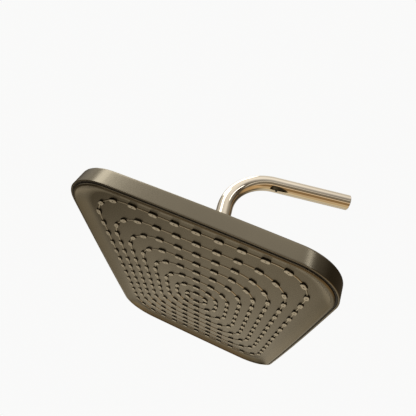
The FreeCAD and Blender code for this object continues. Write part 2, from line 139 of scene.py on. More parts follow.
def head_ball_place():
    place = HEAD_TURN.to_4x4()
    place.translation = BALL
    return place @ Matrix.Scale(MM, 4)


def arm_place():
    return Matrix.Scale(MM, 4)


def make_piece(name, bm, place, material, body, nodes, sharp=35):
    bmesh.ops.recalc_face_normals(bm, faces=bm.faces)
    bm.transform(place)
    mesh = bpy.data.meshes.new(name)
    bm.to_mesh(mesh)
    bm.free()
    mesh.shade_smooth()
    mesh.set_sharp_from_angle(angle=math.radians(sharp))
    mesh.materials.append(material)
    piece = bpy.data.objects.new(name, mesh)
    bpy.context.scene.collection.objects.link(piece)
    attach(piece, body)
    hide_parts(*nodes)
    return piece


# ---------- surfaces ----------
def bridge(bm, rows, wrap=False):
    """Quads between successive loops of vertices."""
    pairs = list(zip(rows, rows[1:]))
    if wrap:
        pairs.append((rows[-1], rows[0]))
    for low, high in pairs:
        for i in range(len(low)):
            j = (i + 1) % len(low)
            bm.faces.new((low[i], low[j], high[j], high[i]))


def loops_of(bm, loops):
    return [[bm.verts.new(p) for p in loop] for loop in loops]


def circle(r, z, count):
    step = 2 * math.pi / count
    return [(r * math.cos(i * step), r * math.sin(i * step), z) for i in range(count)]


def lathe(bm, profile, count, centre=(0.0, 0.0), close=True):
    """Surface of revolution about a line along Z; closed to itself or capped at both ends."""
    rows = []
    for r, z in profile:
        ring = [(x + centre[0], y + centre[1], h) for x, y, h in circle(r, z, count)]
        rows.append([bm.verts.new(p) for p in ring])
    bridge(bm, rows, wrap=close)
    if not close:
        bm.faces.new(rows[0])
        bm.faces.new(rows[-1])


def arc_points(cx, cz, r, start, end, steps):
    """Points of a quarter or other arc in a profile, angles in degrees."""
    points = []
    for i in range(steps + 1):
        a = math.radians(start + (end - start) * i / steps)
        points.append((cx + r * math.cos(a), cz + r * math.sin(a)))
    return points


def catmull_rom(p, q, r, s, t):
    """Value at t between q and r, with p and s as their outer neighbours."""
    square = 2 * p - 5 * q + 4 * r - s
    cube = 3 * q - p - 3 * r + s
    return 0.5 * (2 * q + (r - p) * t + square * t * t + cube * t ** 3)


def smooth_through(points, steps):
    """Catmull-Rom curve through profile points."""
    padded = [points[0]] + list(points) + [points[-1]]
    out = []
    for near in zip(padded, padded[1:], padded[2:], padded[3:]):
        for i in range(steps):
            out.append(tuple(catmull_rom(*values, i / steps) for values in zip(*near)))
    out.append(tuple(points[-1]))
    return out


# ---------- head outline ----------
def corner_centre():
    """Centre of the corner arc that meets the side arc and the end arc smoothly."""
    side_x, end_y = HALF_W - SIDE_R, HALF_L - END_R
    r_side, r_end = SIDE_R - CORNER_R, END_R - CORNER_R
    span = math.hypot(side_x, end_y)
    along = (r_side ** 2 - r_end ** 2 + span ** 2) / (2 * span)
    away = math.sqrt(r_side ** 2 - along ** 2)
    ux, uy = -side_x / span, end_y / span
    return side_x + along * ux - away * uy, along * uy + away * ux


CORNER_X, CORNER_Y = corner_centre()
SIDE_STEPS = 26
CORNER_STEPS = 26
END_STEPS = 18


def quarter_outline(inset):
    """From the middle of the +X side to the middle of the +Y end."""
    side_turn = math.atan2(CORNER_Y, CORNER_X - (HALF_W - SIDE_R))
    end_turn = math.atan2(CORNER_Y - (HALF_L - END_R), CORNER_X)
    arcs = (
        (HALF_W - SIDE_R, 0.0, SIDE_R - inset, 0.0, side_turn, SIDE_STEPS),
        (CORNER_X, CORNER_Y, CORNER_R - inset, side_turn, end_turn, CORNER_STEPS),
        (0.0, HALF_L - END_R, END_R - inset, end_turn, math.pi / 2, END_STEPS),
    )
    points = []
    for cx, cy, r, start, end, steps in arcs:
        for i in range(steps):
            a = start + (end - start) * i / steps
            points.append((cx + r * math.cos(a), cy + r * math.sin(a)))
    points.append((0.0, HALF_L - inset))
    return points


def outline(inset, z):
    quarter = quarter_outline(inset)
    back = quarter[::-1]
    turns = ((quarter, 1, 1), (back, -1, 1), (quarter, -1, -1), (back, 1, -1))
    return [(kx * x, ky * y, z) for points, kx, ky in turns for x, y in points[:-1]]


# ---------- nozzle rings ----------
def ring_size(k):
    """Half width, half length and corner radius of ring k, counted from the middle."""
    half_w = RING_START_W + RING_STEP_W * k
    half_l = RING_START_L + RING_STEP_L * (k - 1)
    return half_w, half_l, RING_CORNER_R[k - 1]


def ring_points(k):
    """Nozzle centres and turns, evenly spaced along ring k, the first on the +Y axis."""
    half_w, half_l, r = ring_size(k)
    flat, side, turn = half_w - r, half_l - r, 0.5 * math.pi * r
    quarter = flat + turn + side
    count = NOZZLES_MORE_PER_RING * k
    points = []
    for i in range(count):
        s = 4 * quarter * i / count
        q = int(s // quarter)
        u = s - q * quarter
        if q % 2 == 1:
            u = quarter - u
        if u < flat:
            x, y, a = u, half_l, 0.0
        elif u < flat + turn:
            a = (u - flat) / r
            x, y = flat + r * math.sin(a), side + r * math.cos(a)
        else:
            x, y, a = half_w, quarter - u, math.pi / 2
        kx, ky = (1 if q < 2 else -1), (1 if q in (0, 3) else -1)
        points.append((kx * x, ky * y, -kx * ky * a))
    return points


NOZZLES = [p for k in range(1, RINGS + 1) for p in ring_points(k)]


def oval(nozzle, r, z, share=1.0):
    """Oval around a nozzle's centre, its long way along the ring; share 0 makes it round."""
    x, y, turn = nozzle
    reach = (NOZZLE_HALF_L - NOZZLE_HALF_W) * share
    c, n = math.cos(turn), math.sin(turn)
    points = []
    for end, start in ((1, -90), (-1, 90)):
        for i in range(OVAL_STEPS + 1):
            a = math.radians(start + 180 * i / OVAL_STEPS)
            u, v = end * reach + r * math.cos(a), r * math.sin(a)
            points.append((x + u * c - v * n, y + u * n + v * c, z))
    return points


def beside_oval(nozzle, x, y):
    """Nearest point of a nozzle's long axis, and the distance to it."""
    cx, cy, turn = nozzle
    c, n = math.cos(turn), math.sin(turn)
    reach = NOZZLE_HALF_L - NOZZLE_HALF_W
    u = min(max((x - cx) * c + (y - cy) * n, -reach), reach)
    px, py = cx + u * c, cy + u * n
    return Vector((px, py, 0.0)), math.hypot(x - px, y - py)


def ring_loop(k, offset):
    """Rounded rectangle beside ring k, outwards for a positive offset."""
    half_w, half_l, r = ring_size(k)
    half_w, half_l, r = half_w + offset, half_l + offset, r + offset
    turn_steps = max(10, int(r * 0.7))
    points = []
    corners = ((1, 1, 0), (-1, 1, 90), (-1, -1, 180), (1, -1, 270))
    for kx, ky, start in corners:
        cx, cy = kx * (half_w - r), ky * (half_l - r)
        for i in range(turn_steps + 1):
            a = math.radians(start + 90 * i / turn_steps)
            points.append((cx + r * math.cos(a), cy + r * math.sin(a)))
    return without_repeats(split_long(points, 9.0))


def split_long(points, longest):
    out = []
    for (ax, ay), (bx, by) in zip(points, points[1:] + points[:1]):
        parts = max(1, math.ceil(math.hypot(bx - ax, by - ay) / longest))
        for i in range(parts):
            out.append((ax + (bx - ax) * i / parts, ay + (by - ay) * i / parts))
    return out


def without_repeats(points):
    out = []
    for p in points:
        if not out or math.dist(p, out[-1]) > 1e-4:
            out.append(p)
    if math.dist(out[0], out[-1]) < 1e-4:
        out.pop()
    return out


def ring_distance(k, x, y):
    half_w, half_l, r = ring_size(k)
    qx, qy = abs(x) - (half_w - r), abs(y) - (half_l - r)
    outside = math.hypot(max(qx, 0.0), max(qy, 0.0))
    return abs(outside + min(max(qx, qy), 0.0) - r)


def rib_share(distance):
    """Share of the rib's height at this distance from its middle."""
    for (a, high), (b, low) in zip(RIB_SECTION, RIB_SECTION[1:]):
        if distance <= b:
            return high + (low - high) * (distance - a) / (b - a)
    return 0.0


def field_height(x, y):
    nearest = min(ring_distance(k, x, y) for k in range(1, RINGS + 1))
    return FIELD_Z - RIB_HEIGHT * rib_share(nearest)


# ---------- materials ----------
def new_material(name):
    mat = bpy.data.materials.new(name)
    mat.use_nodes = True
    tree = mat.node_tree
    tree.nodes.clear()
    out = tree.nodes.new("ShaderNodeOutputMaterial")
    shader = tree.nodes.new("ShaderNodeBsdfPrincipled")
    tree.links.new(shader.outputs["BSDF"], out.inputs["Surface"])
    return mat, tree, shader


def object_space(tree, scale=(1, 1, 1), turn=None):
    """Texture space in metres that rides with the piece, turned and stretched."""
    coords = tree.nodes.new("ShaderNodeTexCoord")
    mapping = tree.nodes.new("ShaderNodeMapping")
    if turn is not None:
        turned = tree.nodes.new("ShaderNodeMapping")
        turned.inputs["Rotation"].default_value = turn.transposed().to_euler()
        tree.links.new(coords.outputs["Object"], turned.inputs["Vector"])
        tree.links.new(turned.outputs["Vector"], mapping.inputs["Vector"])
    else:
        tree.links.new(coords.outputs["Object"], mapping.inputs["Vector"])
    mapping.inputs["Scale"].default_value = scale
    return mapping.outputs["Vector"]


def noise(tree, vector, scale, detail=3.0, rough=0.55):
    made = tree.nodes.new("ShaderNodeTexNoise")
    made.inputs["Scale"].default_value = scale
    made.inputs["Detail"].default_value = detail
    made.inputs["Roughness"].default_value = rough
    tree.links.new(vector, made.inputs["Vector"])
    return made.outputs["Fac"]


def remap(tree, value, low, high, out_low, out_high, interpolation="LINEAR"):
    made = tree.nodes.new("ShaderNodeMapRange")
    made.interpolation_type = interpolation
    made.inputs["From Min"].default_value = low
    made.inputs["From Max"].default_value = high
    made.inputs["To Min"].default_value = out_low
    made.inputs["To Max"].default_value = out_high
    tree.links.new(value, made.inputs["Value"])
    return made.outputs["Result"]


def two_tone(tree, factor, first, second):
    ramp = tree.nodes.new("ShaderNodeValToRGB")
    ramp.color_ramp.elements[0].position = 0.35
    ramp.color_ramp.elements[0].color = (*first, 1)
    ramp.color_ramp.elements[1].position = 0.65
    ramp.color_ramp.elements[1].color = (*second, 1)
    tree.links.new(factor, ramp.inputs["Fac"])
    return ramp.outputs["Color"]


def add_bump(tree, shader, height, strength, distance):
    made = tree.nodes.new("ShaderNodeBump")
    made.inputs["Strength"].default_value = strength
    made.inputs["Distance"].default_value = distance
    tree.links.new(height, made.inputs["Height"])
    tree.links.new(made.outputs["Normal"], shader.inputs["Normal"])


def along(tree, vector, axis):
    """Length of a vector along a unit axis."""
    dot = tree.nodes.new("ShaderNodeVectorMath")
    dot.operation = "DOT_PRODUCT"
    dot.inputs[1].default_value = axis
    tree.links.new(vector, dot.inputs[0])
    return dot.outputs["Value"]


def head_height(tree):
    """Height above the plane of the nozzle tips, in metres, that rides with the head."""
    coords = tree.nodes.new("ShaderNodeTexCoord")
    shift = tree.nodes.new("ShaderNodeMath")
    shift.operation = "SUBTRACT"
    shift.inputs[1].default_value = BALL.dot(HEAD_Z) - BALL_Z * MM
    tree.links.new(along(tree, coords.outputs["Object"], HEAD_Z), shift.inputs[0])
    return shift.outputs["Value"]


def blend(tree, factor, first, second):
    """Colour that goes from the first socket or colour to the second as factor rises."""
    mix = tree.nodes.new("ShaderNodeMix")
    mix.data_type = "RGBA"
    tree.links.new(factor, mix.inputs["Factor"])
    for socket, value in ((mix.inputs[6], first), (mix.inputs[7], second)):
        if isinstance(value, bpy.types.NodeSocket):
            tree.links.new(value, socket)
        else:
            socket.default_value = (*value, 1)
    return mix.outputs[2]


def satin_metal(name, first, second, rough, turn, grain=(1, 1, 1), bump=0.03, crest_highlight=None):
    """Satin-finished plated metal: fine directional grain, cloudy tone.

    With a crest highlight colour, the ribs that the mesh marks are painted lighter: a painted highlight
    along the rib crests."""
    mat, tree, shader = new_material(name)
    space = object_space(tree, turn=turn)
    grain_space = object_space(tree, scale=grain, turn=turn)
    clouds = noise(tree, space, 22.0, 4.0)
    fine = noise(tree, grain_space, 900.0, 5.0, 0.6)
    colour = two_tone(tree, clouds, first, second)
    # Painted highlight: the rib crests are blended towards a lighter colour.
    if crest_highlight is not None:
        marked = tree.nodes.new("ShaderNodeAttribute")
        marked.attribute_name = RIB_MARK
        rib_highlight_share = remap(tree, marked.outputs["Fac"], 0.05, 0.4, 0.0, 1.0)
        colour = blend(tree, rib_highlight_share, colour, crest_highlight)
    tree.links.new(colour, shader.inputs["Base Color"])
    spread = remap(tree, fine, 0.25, 0.75, rough[0], rough[1])
    tree.links.new(spread, shader.inputs["Roughness"])
    shader.inputs["Metallic"].default_value = 1.0
    add_bump(tree, shader, fine, bump, 0.00004)
    return mat


def polished_metal(name, first, second, rough, bump=0.03):
    """Mirror-polished plating with faint wipe marks."""
    mat, tree, shader = new_material(name)
    space = object_space(tree)
    clouds = noise(tree, space, 30.0, 3.0)
    wipes = noise(tree, object_space(tree, scale=(0.25, 1, 1)), 420.0, 4.0)
    tree.links.new(two_tone(tree, clouds, first, second), shader.inputs["Base Color"])
    spread = remap(tree, wipes, 0.3, 0.7, rough[0], rough[1])
    tree.links.new(spread, shader.inputs["Roughness"])
    shader.inputs["Metallic"].default_value = 1.0
    add_bump(tree, shader, wipes, bump, 0.00003)
    return mat


def dull_solid(name, first, second, rough, metallic, scale, bump):
    """Moulded rubber or plastic, or plain machined metal, with a fine surface grain."""
    mat, tree, shader = new_material(name)
    space = object_space(tree)
    clouds = noise(tree, space, 60.0, 3.0)
    fine = noise(tree, space, scale, 4.0)
    tree.links.new(two_tone(tree, clouds, first, second), shader.inputs["Base Color"])
    spread = remap(tree, fine, 0.3, 0.7, rough[0], rough[1])
    tree.links.new(spread, shader.inputs["Roughness"])
    shader.inputs["Metallic"].default_value = metallic
    add_bump(tree, shader, fine, bump, 0.00005)
    return mat


def silicone_tips(name, tip, side, rough):
    """Tinted silicone with smooth pale tips; the barrels above them are painted near-black, a painted
    shade standing in for the shade their walls lie in.
    """
    mat, tree, shader = new_material(name)
    space = object_space(tree)
    fine = noise(tree, space, 900.0, 4.0)
    clouds = noise(tree, space, 60.0, 3.0)
    tip_tone = two_tone(tree, clouds, tip, tuple(1.08 * c for c in tip))
    # Painted shade: from just above the tip, the colour turns near-black up the barrel.
    barrel_shade_share = remap(tree, head_height(tree), 0.08 * MM, 0.3 * MM, 0.0, 1.0)
    tree.links.new(blend(tree, barrel_shade_share, tip_tone, side), shader.inputs["Base Color"])
    spread = remap(tree, fine, 0.3, 0.7, rough[0], rough[1])
    tree.links.new(spread, shader.inputs["Roughness"])
    shader.inputs["Metallic"].default_value = 0.6
    add_bump(tree, shader, fine, 0.08, 0.00005)
    return mat


SHELL = satin_metal(
    "satin_bronze_shell", (0.185, 0.165, 0.125), (0.200, 0.178, 0.134), (0.23, 0.25), HEAD_TURN,
    grain=(1, 0.1, 0.1), bump=0.006)
# The face's ribs get a painted highlight, the lighter crest colour.
FACE = satin_metal(
    "satin_bronze_face", (0.180, 0.158, 0.118), (0.196, 0.172, 0.128), (0.25, 0.32), HEAD_TURN,
    crest_highlight=(0.50, 0.455, 0.37))
# The second colour is painted shade for the nozzle barrels.
TIPS = silicone_tips("bronze_silicone", (0.56, 0.515, 0.42), (0.035, 0.03, 0.022), (0.36, 0.46))
TUBE = polished_metal("polished_champagne", (0.76, 0.70, 0.60), (0.80, 0.74, 0.64), (0.04, 0.07))

# Pieces whose shape comes from the solid model:
# first and second colour, roughness range, metallic, grain scale, grain depth.
BRASS = dull_solid("turned_brass", (0.72, 0.52, 0.25), (0.80, 0.58, 0.29), (0.25, 0.4), 1.0, 500.0, 0.1)
RUBBER = dull_solid(
    "black_rubber", (0.012, 0.011, 0.010), (0.022, 0.020, 0.018), (0.5, 0.7), 0.0, 900.0, 0.3)
BLACK_STEEL = dull_solid(
    "black_steel", (0.05, 0.048, 0.045), (0.08, 0.076, 0.07), (0.3, 0.45), 1.0, 700.0, 0.1)
STEEL = dull_solid(
    "stainless_steel", (0.58, 0.57, 0.55), (0.66, 0.65, 0.62), (0.22, 0.36), 1.0, 700.0, 0.08)
WHITE = dull_solid("white_acetal", (0.74, 0.73, 0.70), (0.80, 0.79, 0.76), (0.35, 0.5), 0.0, 500.0, 0.1)
GREY = dull_solid("grey_moulding", (0.10, 0.10, 0.10), (0.14, 0.14, 0.14), (0.4, 0.55), 0.0, 500.0, 0.15)

CAD_FINISH = {
    "inlet_insert": BRASS,
    "inlet_o_ring_1": RUBBER,
    "inlet_o_ring_2": RUBBER,
    "arm_grub_screw": BLACK_STEEL,
    "arm_nipple": BRASS,
    "stem_washer": RUBBER,
    "strainer": STEEL,
    "flow_regulator": WHITE,
    "ball_liner": WHITE,
    "seal_carrier": GREY,
    "ball_cup": BRASS,
    "boss_o_ring": RUBBER,
    "boss_screws": STEEL,
    "edge_seal": RUBBER,
    "chamber_cover": GREY,
    "chamber_gasket": RUBBER,
    "spreader_plate": GREY,
    "plate_screws": STEEL,
}


def finish_cad_nodes():
    for name, material in CAD_FINISH.items():
        mesh = frame["nodes"][name].data
        mesh.materials.clear()
        mesh.materials.append(material)


# ---------- arm ----------
def arm_stations():
    """(centre, tangent) along the arm in the XZ plane, from the wall side to the head."""
    corner_x = -(ARM_REACH - BEND_R)
    run = [0.0, -2.0, -30.0, -60.0, -84.0] + [-88.0 - i for i in range(0, 10)]
    stations = [((x, 0.0, 0.0), (-1.0, 0.0, 0.0)) for x in run if x > corner_x]
    steps = 56
    for i in range(steps + 1):
        a = 0.5 * math.pi * i / steps
        centre = (corner_x - BEND_R * math.sin(a), 0.0, -BEND_R * (1 - math.cos(a)))
        stations.append((centre, (-math.cos(a), 0.0, -math.sin(a))))
    for z in (-70.0, -90.0, -ARM_DROP + ARM_END_ABOVE_BALL):
        stations.append(((-ARM_REACH, 0.0, z), (0.0, 0.0, -1.0)))
    return stations


def hoop(centre, tangent, r, count=72):
    """Ring of points around the arm's centre line."""
    c, t = Vector(centre), Vector(tangent)
    side = Vector((0.0, 1.0, 0.0))
    up = t.cross(side)
    ring = circle(r, 0.0, count)
    return [tuple(c + side * x + up * y) for x, y, _ in ring]


def build_arm():
    bm = bmesh.new()
    stations = arm_stations()
    wall_end, wall_way = stations[0]
    head_end, head_way = stations[-1]
    inner_r = ARM_R - ARM_WALL
    end_z = head_end[2]
    loops = [
        hoop(wall_end, wall_way, inner_r),
        hoop(wall_end, wall_way, ARM_R - TUBE_CHAMFER),
        hoop((-TUBE_CHAMFER, 0, 0), wall_way, ARM_R),
    ]
    loops += [hoop(c, t, ARM_R) for c, t in stations[1:-1]]
    loops.append(hoop((-ARM_REACH, 0, end_z + TUBE_CHAMFER), head_way, ARM_R))
    loops.append(hoop(head_end, head_way, ARM_R - TUBE_CHAMFER))
    loops += [hoop(c, t, inner_r) for c, t in reversed(stations[1:])]
    bridge(bm, loops_of(bm, loops), wrap=True)
    piece = make_piece(
        "swan_neck_tube", bm, arm_place(), TUBE, "arm", ["arm_tube"], 30)
    cut_grub_hole(piece)


def cut_grub_hole(piece):
    """Round hole through the underside of the tube, cut with a short plug."""
    bm = bmesh.new()
    plug = [(GRUB_HOLE_R, -ARM_R - 2), (GRUB_HOLE_R, -ARM_R + 2 * ARM_WALL)]
    lathe(bm, plug, 40, (GRUB_X, 0.0), close=False)
    bmesh.ops.recalc_face_normals(bm, faces=bm.faces)
    bm.transform(arm_place())
    mesh = bpy.data.meshes.new("grub_cutter")
    bm.to_mesh(mesh)
    bm.free()
    cutter = bpy.data.objects.new("grub_cutter", mesh)
    bpy.context.scene.collection.objects.link(cutter)
    modifier = piece.modifiers.new("grub_hole", "BOOLEAN")
    modifier.operation = "DIFFERENCE"
    modifier.solver = "EXACT"
    modifier.object = cutter
    bpy.context.view_layer.update()
    graph = bpy.context.evaluated_depsgraph_get()
    cut = bpy.data.meshes.new_from_object(piece.evaluated_get(graph))
    piece.modifiers.clear()
    piece.data = cut
    bpy.data.objects.remove(cutter)
    cut.set_sharp_from_angle(angle=math.radians(30))
    round_normals(cut)


def arm_axis_point(p):
    """Nearest point of the arm's centre line to p, in millimetres."""
    corner_x = -(ARM_REACH - BEND_R)
    if p.x >= corner_x:
        return Vector((p.x, 0.0, 0.0))
    if p.z <= -BEND_R:
        return Vector((-ARM_REACH, 0.0, p.z))
    pivot = Vector((corner_x, 0.0, -BEND_R))
    out = Vector((p.x - pivot.x, 0.0, p.z - pivot.z)).normalized()
    return pivot + out * BEND_R


def round_normals(mesh):
    """True radial normals on the tube's outside, so its reflections run clean."""
    normals = []
    for face in mesh.polygons:
        for index in face.vertices:
            p = mesh.vertices[index].co / MM
            radial = p - arm_axis_point(p)
            on_skin = abs(radial.length - ARM_R) < 0.02
            outward = radial.normalized() if radial.length > 0 else Vector((0, 0, 1))
            faces_out = outward.dot(face.normal) > 0.9
            normals.append(outward if on_skin and faces_out else Vector((0, 0, 0)))
    mesh.normals_split_custom_set(normals)


# ---------- joint ----------
def build_cap_nut():
    bm = bmesh.new()
    profile = [(CUP_R + 0.1, CAP_LOW), (CAP_R - 0.6, CAP_LOW)]
    profile += arc_points(CAP_R - 0.6, CAP_LOW + 0.6, 0.6, -90, 0, 4)
    profile += [(CAP_R, CAP_LOW + 2.0), (CAP_R, CAP_TOP - 9.0), (CAP_R, CAP_TOP - 7.4)]
    profile += arc_points(CAP_R - 7.4, CAP_TOP - 7.4, 7.4, 4, 84, 12)
    profile += [(11.9, CAP_TOP - 0.02), (11.5, CAP_TOP - 0.15), (11.1, CAP_TOP - 0.6)]
    profile += [(9.8, 9.0), (13.25, 1.0), (CUP_R + 0.1, -0.9)]
    count = FLUTES * 10
    rows = []
    for r, z in profile:
        flute = flute_depth(r, z)
        ring = []
        for i in range(count):
            a = 2 * math.pi * i / count
            cut = flute * max(0.0, math.cos(FLUTES * a)) ** 1.5
            ring.append(bm.verts.new(((r - cut) * math.cos(a), (r - cut) * math.sin(a), z)))
        rows.append(ring)
    bridge(bm, rows, wrap=True)
    make_piece(
        "fluted_cap_nut", bm, head_ball_place(), TUBE, "head", ["cap_nut"], 40)


def flute_depth(r, z):
    """The grip flutes run up the nut's side and fade into its dome."""
    if r < CAP_R - 1.2 or z < CAP_LOW + 0.5:
        return 0.0
    fade = min(1.0, max(0.0, (CAP_TOP - 6.2 - z) / 2.5))
    return 0.62 * fade


def build_stem():
    bm = bmesh.new()
    profile = [(3.5, -BALL_R * math.cos(math.asin(3.5 / BALL_R)))]
    turn_start = -90 + math.degrees(math.asin(3.9 / BALL_R))
    turn_end = math.degrees(math.acos(NECK_R / BALL_R)) - 4
    profile += arc_points(0, 0, BALL_R, turn_start, turn_end, 30)
    profile += [(NECK_R + 0.25, 9.0), (NECK_R, 10.0), (NECK_R, 15.4)]
    profile += arc_points(NECK_R + 3.2, 15.4, 3.2, 180, 100, 8)
    profile += [(11.9, COLLAR_LOW)]
    profile += [(3.5, COLLAR_LOW + 1)]
    lathe(bm, profile, 64)
    hex_collar(bm)
    make_piece("hex_ball_stem", bm, ball_place(), TUBE, "arm", ["ball_stem"], 40)


def hex_collar(bm):
    """Hexagon with rounded-over corners at both ends, and a bore for the tube's thread."""
    corner_r = COLLAR_FLATS / math.sqrt(3)
    count = 96
    # (radius limit, distance from the collar's end) of the rounding, from the end face on
    rounding = [(13.5, 0.0), (13.9, 0.25), (14.6, 0.9), (15.2, 1.6), (corner_r, 2.4)]
    levels = [(r, COLLAR_LOW + h) for r, h in rounding]
    levels += [(r, COLLAR_TOP - h) for r, h in reversed(rounding)]
    levels += [(10.4, COLLAR_TOP), (10.3, COLLAR_TOP - 1.0)]
    levels += [(10.3, COLLAR_LOW + 1.0), (10.4, COLLAR_LOW)]
    rows = []
    for limit, z in levels:
        ring = []
        for i in range(count):
            a = 2 * math.pi * i / count
            r = min(limit, hex_radius(a))
            ring.append(bm.verts.new((r * math.cos(a), r * math.sin(a), z)))
        rows.append(ring)
    bridge(bm, rows, wrap=True)


def hex_radius(angle):
    """Distance from the middle to a hexagon's side, with its corners slightly softened."""
    sector = math.pi / 3
    local = (angle % sector) - sector / 2
    sharp = COLLAR_FLATS / 2 / math.cos(local)
    return min(sharp, COLLAR_FLATS / math.sqrt(3) - 0.25)


def build_back_collar():
    bm = bmesh.new()
    low, high = BACK_TOP, BALL_Z + CAP_LOW - 0.3
    profile = [(CUP_R + 0.1, low), (33.0, low), (32.9, low + 0.35)]
    profile += smooth_through([(32.4, low + 0.6), (29.0, low + 1.7), (26.6, high - 0.5)], 5)
    profile += [(25.6, high - 0.1), (24.9, high), (CUP_R + 0.1, high)]
    lathe(bm, profile, 128)
    make_piece("back_rosette", bm, head_place(), SHELL, "head", ["back_collar"], 40)


# ---------- head ----------
def shell_profile():
    """Once round the shell's section: lip, wall, soft bevel, crowned back, then inside."""
    r = 0.32
    lean = WALL_LEAN / (WALL_TOP - LIP_Z)
    section = arc_points(LIP_WIDTH - r, LIP_Z + r, r, 0, -90, 4)
    section += arc_points(r, LIP_Z + r, r, -90, -180, 5)
    section += [(lean * h, LIP_Z + h) for h in (1.5, 4.0, 7.0, 10.0, 11.6)]
    bevel = [(0.46, -1.55), (0.62, -0.85), (1.05, -0.28), (1.75, 0.02)]
    section += smooth_through([(inset, WALL_TOP + h) for inset, h in bevel], 4)
    crown = [(3.2, 11.75), (8.0, 13.0), (18.0, 15.5), (28.0, 17.1), (CROWN_INSET, BACK_TOP)]
    section += smooth_through(crown, 5)
    return section


def build_shell():
    bm = bmesh.new()
    hole_r = CUP_R + 1.0
    low_top = BACK_TOP - SHELL_T
    outer = [outline(inset, z) for inset, z in shell_profile()]
    top = to_circle(outline(CROWN_INSET, BACK_TOP), hole_r, BACK_TOP, 10)
    under = to_circle(outline(CROWN_INSET, low_top), hole_r, low_top, 4)
    inner = [outline(inset, z - SHELL_T) for inset, z in ((28.0, 17.2), (18.0, 15.6), (8.0, 13.1))]
    inner += [outline(LIP_WIDTH + 0.1, WALL_TOP - SHELL_T), outline(LIP_WIDTH, 2.0)]
    loops = outer + top + under[::-1] + inner
    bridge(bm, loops_of(bm, loops), wrap=True)
    make_piece("rain_head_shell", bm, head_place(), SHELL, "head", ["head_shell"], 40)


def to_circle(loop, r, z, steps):
    """Loops that turn the outline gradually into a round opening."""
    loops = []
    for i in range(1, steps + 1):
        t = i / steps
        ring = []
        for x, y, _ in loop:
            a = math.atan2(y, x)
            ring.append((x + (r * math.cos(a) - x) * t, y + (r * math.sin(a) - y) * t, z))
        loops.append(ring)
    return loops


def rim_profile():
    """Section of the face plate's edge, from the flange top over the bead into the cove."""
    r = 1.4
    section = [(PLATE_INSET + 1.6, 2.0), (PLATE_INSET + 1.6, FLANGE_TOP), (PLATE_INSET, FLANGE_TOP)]
    section += [(PLATE_INSET, 4.0), (PLATE_INSET, 1.0)]
    section += arc_points(PLATE_INSET + r, PLATE_LOW + r, r, -180, -90, 8)
    section += arc_points(4.45, PLATE_LOW + 0.35, 0.35, -90, -40, 4)
    cove = [(5.0, -3.3), (6.2, -2.2), (8.2, -0.9), (10.6, 0.35), (13.0, 1.05)]
    section += smooth_through(cove + [(FIELD_INSET, FIELD_Z)], 5)
    return section


def field_outline():
    return [(x, y) for x, y, _ in outline(FIELD_INSET, 0.0)]


def field_plan():
    """Flat triangulation of the nozzle field: its edge, the ribs' contours and the holes."""
    points, edges = [], []

    def add(loop):
        start = len(points)
        points.extend(Vector(p) for p in loop)
        edges.extend((start + i, start + (i + 1) % len(loop)) for i in range(len(loop)))

    add(field_outline())
    add([(x, y) for x, y, _ in outline(FIELD_INSET + 0.6, 0.0)])
    for k in range(1, RINGS + 1):
        for distance, _ in RIB_SECTION:
            for side in ((1,) if distance == 0 else (1, -1)):
                add(ring_loop(k, side * distance))
    for nozzle in NOZZLES:
        add([(x, y) for x, y, _ in oval(nozzle, HOLE_R + HOLE_EDGE, 0.0)])
        add([(x, y) for x, y, _ in oval(nozzle, HOLE_R + HOLE_EDGE + 0.25, 0.0)])
    result = delaunay_2d_cdt(points, edges, [], 0, 1e-5)
    return result[0], result[2]


def nozzle_tree():
    tree = KDTree(len(NOZZLES))
    for i, (x, y, _) in enumerate(NOZZLES):
        tree.insert((x, y, 0.0), i)
    tree.balance()
    return tree


def add_field(bm):
    tree = nozzle_tree()
    plan, triangles = field_plan()
    mark = bm.verts.layers.float.new(RIB_MARK)
    made = [bm.verts.new((p.x, p.y, field_height(p.x, p.y))) for p in plan]
    for vert in made:
        vert[mark] = (FIELD_Z - vert.co.z) / RIB_HEIGHT
    for a, b, c in triangles:
        middle = (plan[a] + plan[b] + plan[c]) / 3
        _, nearest, _ = tree.find((middle.x, middle.y, 0.0))
        _, distance = beside_oval(NOZZLES[nearest], middle.x, middle.y)
        if distance > HOLE_R + HOLE_EDGE - 0.005:
            bm.faces.new((made[a], made[b], made[c]))
    loose = [v for v in made if not v.link_faces]
    bmesh.ops.delete(bm, geom=loose, context="VERTS")
    return tree


def deepen_holes(bm, tree):
    """A small broken edge and a straight wall in each nozzle hole."""
    rim = []
    for edge in bm.edges:
        middle = (edge.verts[0].co + edge.verts[1].co) / 2
        _, nearest, _ = tree.find((middle.x, middle.y, 0.0))
        _, distance = beside_oval(NOZZLES[nearest], middle.x, middle.y)
        if len(edge.link_faces) == 1 and distance < HOLE_R + HOLE_EDGE + 0.05:
            rim.append(edge)
    for reach, height in ((HOLE_R, None), (HOLE_R, MAT_Z)):
        grown = bmesh.ops.extrude_edge_only(bm, edges=rim)["geom"]
        rim = [g for g in grown if isinstance(g, bmesh.types.BMEdge)]
        for vert in {v for e in rim for v in e.verts}:
            _, nearest, _ = tree.find((vert.co.x, vert.co.y, 0.0))
            axis, _ = beside_oval(NOZZLES[nearest], vert.co.x, vert.co.y)
            out = Vector((vert.co.x - axis.x, vert.co.y - axis.y, 0.0)).normalized() * reach
            level = vert.co.z + HOLE_EDGE if height is None else height
            vert.co = Vector((axis.x + out.x, axis.y + out.y, level))


def settle_order(bm):
    """Stores vertices, edges and faces by their place, so that each run gives the same mesh."""
    for parts, place in (
        (bm.verts, lambda vert: tuple(vert.co)),
        (bm.edges, lambda edge: tuple(edge.verts[0].co + edge.verts[1].co)),
        (bm.faces, lambda face: tuple(face.calc_center_median())),
    ):
        rank = {part: i for i, part in enumerate(sorted(parts, key=place))}
        parts.sort(key=rank.get)


